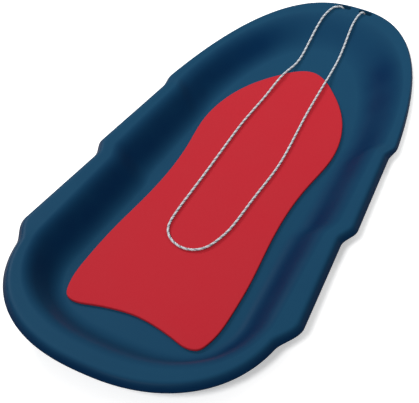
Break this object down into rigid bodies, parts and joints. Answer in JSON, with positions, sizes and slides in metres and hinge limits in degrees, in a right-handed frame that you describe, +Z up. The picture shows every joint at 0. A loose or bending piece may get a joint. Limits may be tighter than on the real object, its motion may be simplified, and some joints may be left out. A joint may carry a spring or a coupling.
{
  "type": "snow sled",
  "caption": "Child's toboggan: a shallow moulded tub with a notched rim, a shaped foam pad on its floor and a tow rope knotted under slots in the nose.",
  "frame": {"origin": "on the ground, under the centre of the hull's outline in plan", "axes": "+Z up, -Y to the nose where the tow rope is tied, +X to the rider's left"},
  "size_m": [0.5702, 1.22, 0.062],
  "materials": {
    "hull": "satin moulded navy blue polyethylene",
    "pad": "matt red closed-cell foam with a fine skin",
    "rope": "twisted white and grey cord"
  },
  "bodies": {
    "root": {"hull": "hull", "deck_pad": "pad", "tow_rope": "rope", "knot_port": "rope", "knot_starboard": "rope"}
  },
  "joints": []
}
